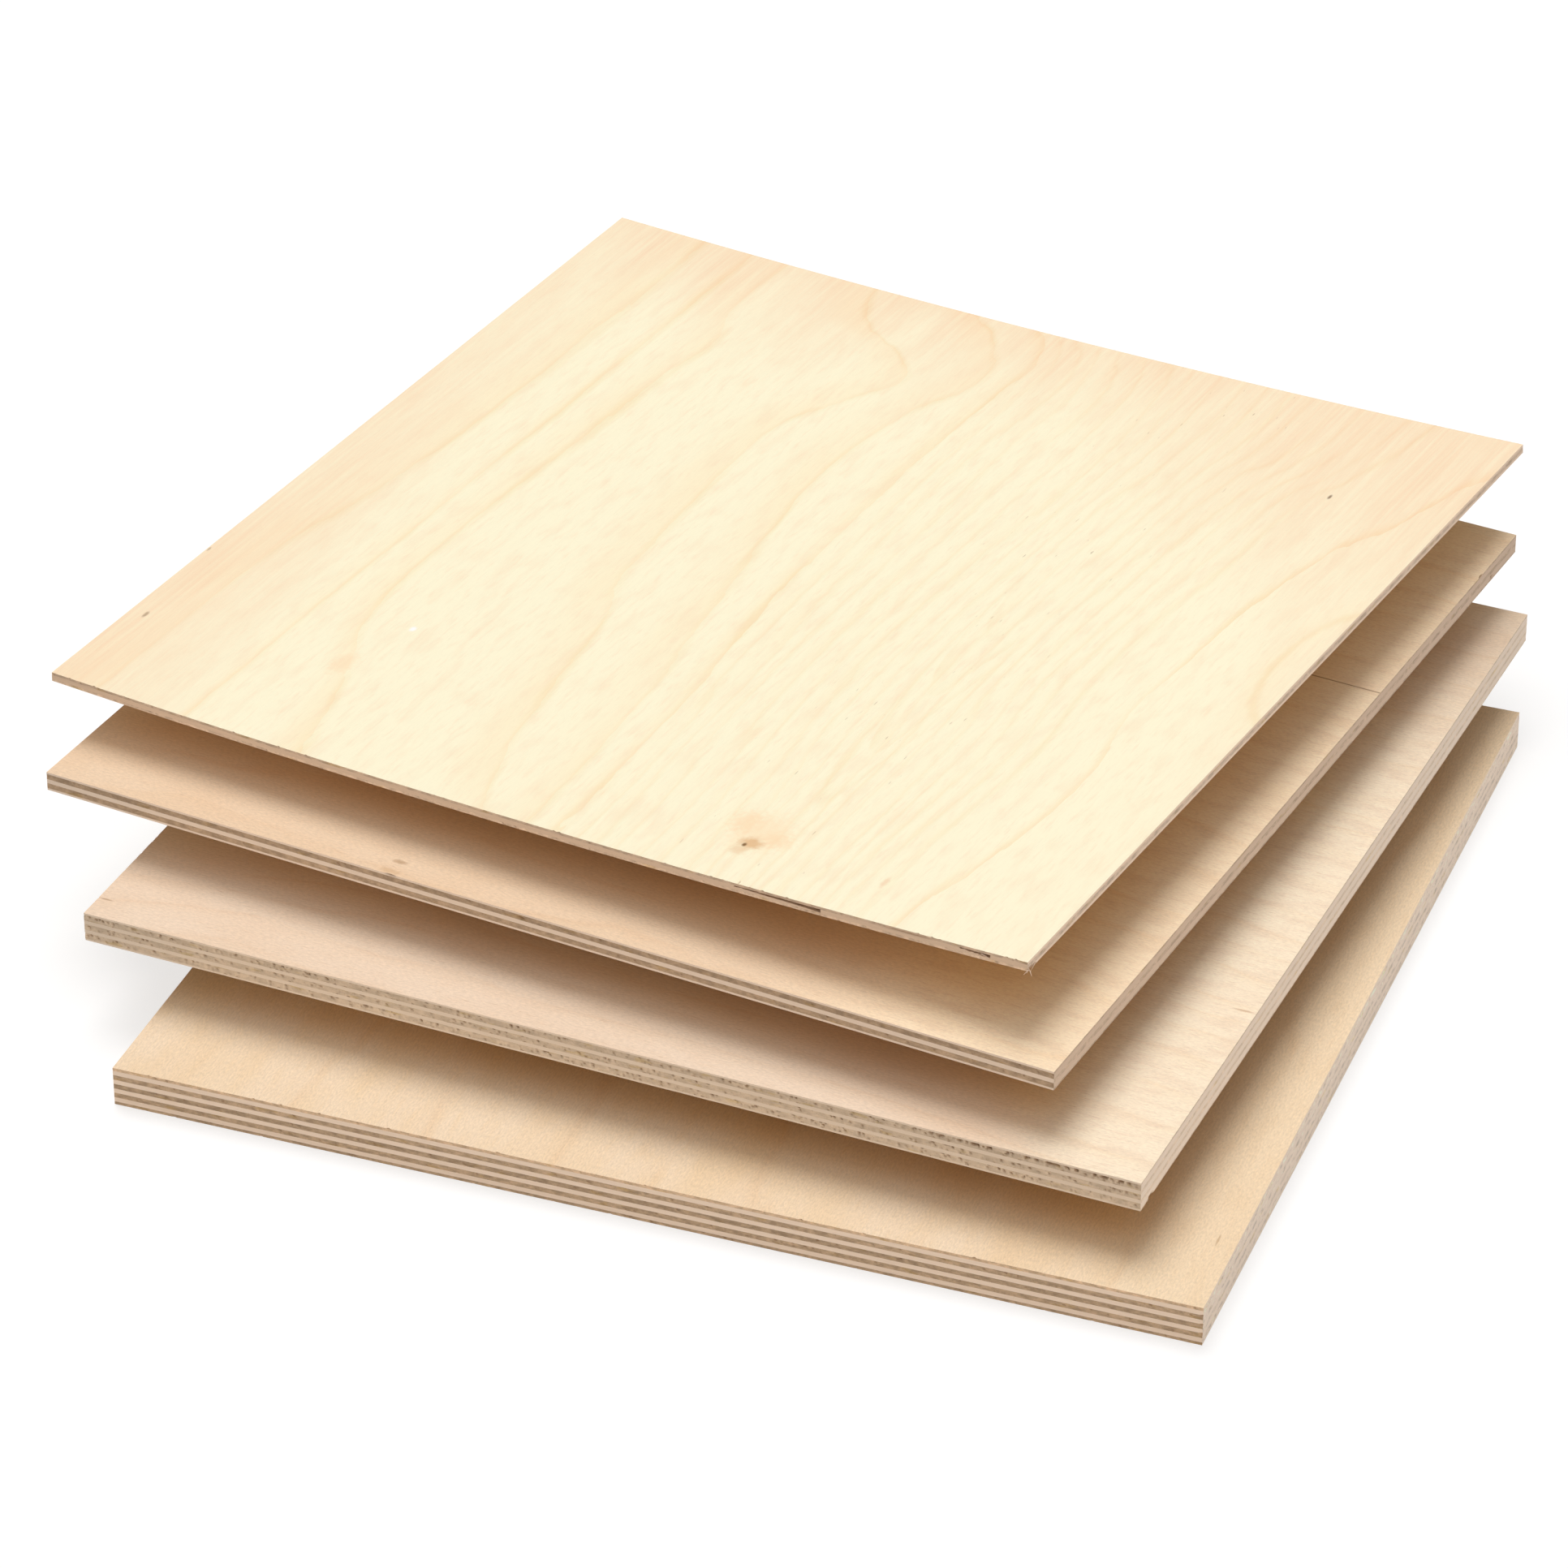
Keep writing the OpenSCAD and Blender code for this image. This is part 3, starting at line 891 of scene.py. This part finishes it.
dents = [  # along the side and up from the underside, half sizes and depth, in millimetres
    {"sheet": "upper", "side": "right", "along": 126.8, "up": 5.8, "size": (1.6, 0.8), "deep": 0.4},
    {"sheet": "upper", "side": "right", "along": 135.3, "up": 1.1, "size": (1.1, 0.7), "deep": 0.45},
    {"sheet": "upper", "side": "front", "along": -44, "up": 5.6, "size": (2.2, 0.6), "deep": 0.35},
    {"sheet": "upper", "side": "front", "along": -4, "up": 4.3, "size": (1.6, 0.5), "deep": 0.35},
    {"sheet": "lower", "side": "right", "along": -145.6, "up": 0.2, "size": (2.0, 0.9), "deep": 0.45},
    {"sheet": "lower", "side": "front", "along": 128, "up": 7.3, "size": (5.0, 0.4), "deep": 0.2},
    {"sheet": "bottom", "side": "front", "along": 152, "up": 9.6, "size": (1.1, 0.5), "deep": 0.35},
    {"sheet": "bottom", "side": "front", "along": 152, "up": 6.5, "size": (1.1, 0.5), "deep": 0.35},
    {"sheet": "bottom", "side": "front", "along": 152, "up": 3.7, "size": (1.1, 0.5), "deep": 0.35},
    {"sheet": "top", "side": "right", "along": -152.2, "up": 0.3, "size": (3.5, 0.7), "deep": 0.35},
    {"sheet": "top", "side": "front", "along": 116.7, "up": 1.95, "size": (11.0, 0.3), "deep": 0.25},
]
tornRow = {  # torn specks in the lower sheet's front, near its right corner
    "count": 26,
    "along": (94, 151.5),
    "up": 7.6,
    "length": (0.5, 1.0),
    "height": 0.45,
    "deep": (0.4, 0.65),
}
tears = random.Random(3)
for speck in range(tornRow["count"]):
    dents.append({"sheet": "lower", "side": "front",
                  "along": tears.uniform(*tornRow["along"]), "up": tornRow["up"],
                  "size": (tears.uniform(*tornRow["length"]), tornRow["height"]),
                  "deep": tears.uniform(*tornRow["deep"])})
sawMarks = newPattern("saw_marks", "CLOUDS")
pitMarks = {}
for name, look in sheetLooks.items():
    edges = (look["pitEdge"] * veneer["pitSoft"], look["pitEdge"])
    pitMarks[name] = newPattern(name + "_pits", "VORONOI", edges)
sides = {"front": ("Y", -1), "back": ("Y", 1), "left": ("X", -1), "right": ("X", 1)}


def cutSlab(slab, sheet, thick, grain):
    half = sheet["half"]
    rows = max(2, round(thick / veneer["rowHeight"] / mm))
    cutEdges(slab, rows - 1, lambda a, b: abs(a.z - b.z) > tiny)
    pickFaces(slab, lambda face: abs(face.normal.z) > 0.5)
    bpy.ops.mesh.inset(thickness=veneer["inset"] * mm, use_individual=True)
    bpy.ops.object.mode_set(mode="OBJECT")
    started = {"X": 1, "Y": 1}
    if "cup" in sheet:
        cutEdges(slab, veneer["cupCuts"], lambda a, b: abs(a.x - b.x) > tiny and abs(a.y - b.y) < tiny)
        started["Y"] = veneer["cupCuts"] + 1
    for facing, run in (("X", 1), ("Y", 0)):  # axis that a side faces, and the index of the axis along it
        across = 1 - run
        step = veneer["endStep"] if facing == grain else veneer["longStep"]
        share = 2 * half[run] / mm / step / started[facing]
        passes = [share] if share < 100 else [math.sqrt(share)] * 2
        rim = half[across] - tiny
        for cuts in passes:
            cutEdges(slab, round(cuts) - 1, lambda a, b: abs(a[run] - b[run]) > tiny
                     and min(abs(a[across]), abs(b[across])) > rim)


voids = {  # holes in the top crossband's front edge, which taper to their left ends
    "apart": 20,  # points of the CAD crossband that lie further apart belong to two voids
    "inside": 0.5,  # points that lie further from the front and back edges are on a void's wall
    "over": 1,  # how far a cutter reaches past the front edge
    "rise": 0.9,  # its middle above the veneer's underside, as a share of the thickness
    "cuts": 15,
    "tipDepth": 0.06,  # at the left end, as a share of the full depth
    "raggedDepth": 0.4,
    "tipHeight": 0.2,  # at the left end, as a share of the veneer's thickness
    "taper": 0.6,  # how much higher the right end is
    "raggedHeight": 0.25,
}


def voidsOf(sheet):  # places in the front edge where the CAD crossband is missing
    half = sheet["length"] / 2
    inner = [p for p in onSheet(sheet, "top_crossband_1") if abs(p.y) < half - voids["inside"] * mm]
    marks = sorted(p.x for p in inner)
    spans = [[marks[0], marks[0]]]
    for mark in marks:
        if mark - spans[-1][1] > voids["apart"] * mm:
            spans.append([mark, mark])
        spans[-1][1] = mark
    return spans, max(p.y for p in inner)


def cutVoids(slab, sheet, layer):
    cup, half = sheet["cup"], sheet["length"] / 2
    spans, wall = voidsOf(sheet)
    outside = -half - voids["over"] * mm
    tip = voids["tipDepth"]
    for span in spans:
        turns = [math.asin((x - cup["x"]) / cup["radius"]) for x in span]
        left, right = [cup["radius"] * (turn - cup["lean"]) for turn in turns]
        thick = layer["high"] - layer["low"]
        size = (right - left, wall - outside, thick)
        middle = ((left + right) / 2, (wall + outside) / 2, layer["low"] + voids["rise"] * thick)
        cutter = startBlock("cutter", size, middle)
        cutEdges(cutter, voids["cuts"], lambda a, b: abs(a.x - b.x) > tiny)
        for vertex in cutter.data.vertices:
            share = (vertex.co.x - left) / (right - left)
            if vertex.co.y > -half:
                ragged = 1 - voids["raggedDepth"] * random.random()
                vertex.co.y = -half + (wall + half) * (tip + (1 - tip) * share * ragged)
            if vertex.co.z < layer["high"]:
                ragged = voids["raggedHeight"] * (random.random() - 0.5)
                vertex.co.z = layer["high"] - thick * (voids["tipHeight"] + voids["taper"] * share + ragged)
        bpy.ops.object.select_all(action="DESELECT")
        slab.select_set(True)
        bpy.context.view_layer.objects.active = slab
        missing = slab.modifiers.new("void", "BOOLEAN")
        missing.operation = "DIFFERENCE"
        missing.solver = "EXACT"
        missing.object = cutter
        applyModifiers(slab)
        bpy.data.objects.remove(cutter)
        print("void from %.1f to %.1f mm" % (left / mm, right / mm))


def paintSlab(slab, name, grain, isFace, isBack):
    woods = sheetWoods[name]
    slab.data.materials.clear()
    for wood in (woods["back" if isBack else "face"], woods["end" + grain], woods["long" + grain]):
        slab.data.materials.append(wood)
    for face in slab.data.polygons:
        if abs(face.normal.z) > 0.5:
            shown = (isFace and face.normal.z > 0) or (isBack and face.normal.z < 0)
            face.material_index = 0 if shown else 2
        else:
            facing = "X" if abs(face.normal.x) > abs(face.normal.y) else "Y"
            face.material_index = 1 if facing == grain else 2


def roughen(slab, sheet, name, grain):  # saw marks and torn fibres, always inwards
    look = sheetLooks[name]
    heights = [vertex.co.z for vertex in slab.data.vertices]
    low, high = min(heights), max(heights)
    lowShare = veneer["lowShare"]
    guides = []
    for label, (axis, sign) in sides.items():
        index = "XY".index(axis)
        group = slab.vertex_groups.new(name=label)
        for vertex in slab.data.vertices:
            if vertex.co[index] * sign > sheet["half"][index] - tiny:
                share = lowShare + (1 - lowShare) * (vertex.co.z - low) / (high - low)
                group.add([vertex.index], share, "REPLACE")
        isEnd = axis == grain
        along = 1 - index
        marks = [veneer["mark"]] * 3
        marks[along] = veneer["mark" if isEnd else "longMark"]
        larger, longer = (1, 1) if isEnd else veneer["longPit"]
        pit = look["pitCell"] * larger
        pits = [pit * veneer["pitHeight"]] * 3
        pits[along] = pit * longer
        fuzz = veneer["fuzz"]["end" if isEnd else "long"] * (1 if axis == "Y" else veneer["flankFuzz"])
        torn = look["pit"] * (1 if isEnd and label == "front" else veneer["tearShare"])
        for pattern, size, depth in ((sawMarks, marks, fuzz), (pitMarks[name], pits, torn)):
            guides.append(stretcher(size))
            addPush(slab, pattern, guides[-1], axis, -sign * depth, label)
    applyPushes(slab, guides)
    slab.vertex_groups.clear()


def dentSlab(slab, sheet, name):
    for dent in dents:
        if dent["sheet"] != name:
            continue
        axis, sign = sides[dent["side"]]
        index = "XY".index(axis)
        for vertex in slab.data.vertices:
            if vertex.co[index] * sign < sheet["half"][index] - veneer["dentReach"] * mm:
                continue
            along = (vertex.co[1 - index] / mm - dent["along"]) / dent["size"][0]
            up = (vertex.co.z / mm - dent["up"]) / dent["size"][1]
            reach = along * along + up * up
            if reach < 1:
                vertex.co[index] -= sign * dent["deep"] * mm * (1 - reach)


def markPits(slab, sheet, name, shift):  # how deep each point lies under the sawn side, for the colour, which darkens torn places and dents partly as painted shade
    halfWidth, halfLength = sheet["half"]
    depthOne = veneer["pitFull"] * max(sheetLooks[name]["pit"], veneer["pitLeast"]) * mm
    pit = slab.data.attributes.new("pit", "FLOAT", "POINT")
    tint = slab.data.attributes.new("tone", "FLOAT", "POINT")
    for vertex in slab.data.vertices:
        depth = min(halfWidth - abs(vertex.co.x), halfLength - abs(vertex.co.y))
        near = depth < veneer["pitReach"] * mm
        darker = min(1, max(0, (depth - veneer["pitFrom"] * mm) / depthOne))
        pit.data[vertex.index].value = darker if near else 0
        tint.data[vertex.index].value = shift


def bendSlab(slab, cup):
    shift = cup["radius"] * cup["lean"]
    slab.location = (shift, 0, 0)
    slab.rotation_euler = (math.radians(-90), 0, 0)
    bpy.ops.object.transform_apply(location=True, rotation=True, scale=False)
    bend = slab.modifiers.new("cup", "SIMPLE_DEFORM")
    bend.deform_method = "BEND"
    bend.deform_axis = "Z"
    bend.angle = cup["arc"] / cup["radius"]
    applyModifiers(slab)
    slab.rotation_euler = (math.radians(90), 0, 0)
    bpy.ops.object.transform_apply(location=False, rotation=True, scale=False)
    slab.location = (cup["x"], 0, 0)
    bpy.ops.object.transform_apply(location=True, rotation=False, scale=False)


def makeVeneer(name, sheet, index):
    layer = sheet["layers"][index]
    last = len(sheet["layers"]) - 1
    look = sheetLooks[name]
    other = "X" if look["grain"] == "Y" else "Y"
    grain = look["grain"] if index % 2 == 0 else other
    thick, middle = layer["high"] - layer["low"], (layer["low"] + layer["high"]) / 2
    slab = startBlock(layer["node"] + "_wood", (sheet["width"], sheet["length"], thick), (0, 0, middle))
    cutSlab(slab, sheet, thick, grain)
    if layer["node"] == "top_crossband_1":
        cutVoids(slab, sheet, layer)
    paintSlab(slab, name, grain, index == last, index == 0)
    roughen(slab, sheet, name, grain)
    dentSlab(slab, sheet, name)
    shift = 1 + random.uniform(-1, 1) * veneer["toneSpread"]
    shift *= look["backLevel"] if index == 0 else look["faceLevel"] if index == last else 1
    markPits(slab, sheet, name, shift)
    if "cup" in sheet:
        bendSlab(slab, sheet["cup"])
    placeBlock(slab, sheet)
    finishPiece(slab, layer["node"])
    return slab


for name, sheet in sheets.items():
    made = [makeVeneer(name, sheet, index) for index in range(len(sheet["layers"]))]
    print(name, "sheet:", len(made), "veneers,", sum(len(piece.data.polygons) for piece in made), "faces")


# Stickers: sawn softwood battens in the gaps
batten = {
    "bevel": 0.7,
    "fuzz": 0.2,
    "mark": (2, 26, 2),  # size of a saw mark
    "cuts": ((1, 79), (0, 9), (2, 6)),  # index of an axis, and the cuts along it
    "early": (226, 190, 140),
    "late": (190, 138, 88),
    "lateShare": 0.7,
    "ringPitch": 3.4,
    "wander": 3,  # how far the rings stray
    "fibreLength": 16,
    "fibreWidth": 0.5,
    "heart": (14, 30),  # how far the heart of the tree lies beside and below the batten's middle
}


def makeBattenWood(node, plan):
    material, tree, place = newMaterial(node + "_batten_wood", plan)
    axes = splitXyz(tree, place)
    bent = drawnNoise(tree, place, (12, 90, 12))
    wander = calc(tree, "MULTIPLY", offMiddle(tree, bent), batten["wander"])
    side, below = [part * random.uniform(0.7, 1.3) for part in batten["heart"]]
    heart = joinXyz(tree, calc(tree, "ADD", axes["X"], side), 0, calc(tree, "ADD", axes["Z"], below))
    radius = calc(tree, "ADD", vectorCalc(tree, "LENGTH", heart), wander)
    part = calc(tree, "FRACT", calc(tree, "DIVIDE", radius, batten["ringPitch"]))
    late = calc(tree, "MULTIPLY", ramp(tree, part, 0.35, 0.9), ramp(tree, part, 1.0, 0.92))
    grain = useGroup(tree, fibreGroup, Vector=alongGrain(tree, place, "Y"), Length=batten["fibreLength"],
                     Width=batten["fibreWidth"])
    late = calc(tree, "MULTIPLY", late, batten["lateShare"])
    colour = blendTone(tree, late, tone(*batten["early"]), tone(*batten["late"]))
    level = ramp(tree, grain["Streak"], 0.25, 0.75, 0.9, 1.04, smooth=False)
    colour = scaleTone(tree, colour, level)
    roughness = ramp(tree, grain["Streak"], 0.2, 0.8, 0.62, 0.8)
    finishWood(tree, colour, roughness, addBump(tree, grain["Streak"], 0.3, 0.25))
    return material


def makeBatten(node):
    plan = planOf(node)
    size = (plan["width"], plan["length"], plan["height"])
    block = startBlock(node + "_wood", size, (0, 0, plan["height"] / 2))
    pickEdges(block, lambda a, b: True)
    bpy.ops.mesh.bevel(offset=batten["bevel"] * mm, segments=2, affect="EDGES")
    bpy.ops.object.mode_set(mode="OBJECT")
    for index, cuts in batten["cuts"]:
        cutEdges(block, cuts, lambda a, b: abs(a[index] - b[index]) > 5 * mm)
    guide = stretcher(batten["mark"])
    addPush(block, sawMarks, guide, "NORMAL", -batten["fuzz"])
    applyPushes(block, [guide])
    block.data.materials.append(makeBattenWood(node, plan))
    placeBlock(block, plan)
    finishPiece(block, node)


for node in [n for n in nodes if "_sticker_" in n]:
    makeBatten(node)
print("stickers made")


# Torn fibres that stick out of the top sheet's front corner
splinters = {
    "thick": 0.24,
    "flat": 0.7,  # height of a fibre, beside its width
    "tip": 0.25,  # size of its tip, beside its root
    "cuts": 5,
    "curl": 0.05,  # droop of a fibre, per millimetre of its length squared
    "fibres": [  # place on the sheet and height above its underside, length, turn and dip in degrees
        {"place": (151.7, -153.3, 0.25), "length": 1.8, "turn": -115, "dip": 20},
        {"place": (151.7, -153.1, 0.3), "length": 2.2, "turn": -42, "dip": 16},
        {"place": (151.5, -153.5, 0.7), "length": 1.4, "turn": -70, "dip": 14},
        {"place": (151.6, -149.3, 0.35), "length": 3.6, "turn": -84, "dip": 3},
        {"place": (151.3, -153.6, 1.5), "length": 1.2, "turn": -35, "dip": 8},
        {"place": (138.0, -153.7, 1.7), "length": 3.0, "turn": -8, "dip": 2},
    ],
}


def makeSliver(entry, sheet):
    cup = sheet["cup"]
    x, y, up = [part * mm for part in entry["place"]]
    under = cup["z"] - math.sqrt(cup["radius"] ** 2 - (x - cup["x"]) ** 2)
    long, thick = entry["length"] * mm, splinters["thick"] * mm
    sliver = startBlock("sliver", (long, thick, thick * splinters["flat"]), (long / 2, 0, 0))
    pickFaces(sliver, lambda face: face.normal.x > 0.5)
    bpy.ops.transform.resize(value=(1, splinters["tip"], splinters["tip"]))
    bpy.ops.object.mode_set(mode="OBJECT")
    cutEdges(sliver, splinters["cuts"], lambda a, b: abs(a.x - b.x) > 0.5 * long)
    for vertex in sliver.data.vertices:
        vertex.co.z -= splinters["curl"] * (vertex.co.x / mm) ** 2 * mm
    sliver.rotation_euler = (0, math.radians(entry["dip"]), math.radians(entry["turn"]))
    sliver.location = (x, y, under + up)
    bpy.ops.object.transform_apply(location=True, rotation=True, scale=False)
    return sliver


def makeSplinters():
    slivers = [makeSliver(entry, sheets["top"]) for entry in splinters["fibres"]]
    bpy.ops.object.select_all(action="DESELECT")
    for sliver in slivers:
        sliver.select_set(True)
    bpy.context.view_layer.objects.active = slivers[0]
    bpy.ops.object.join()
    piece = bpy.context.object
    piece.name = "top_corner_splinters"
    piece.data.name = piece.name
    piece.data.materials.append(sheetWoods["top"]["longY"])
    placeBlock(piece, sheets["top"])
    finishPiece(piece, None)


makeSplinters()
print("splinters made")
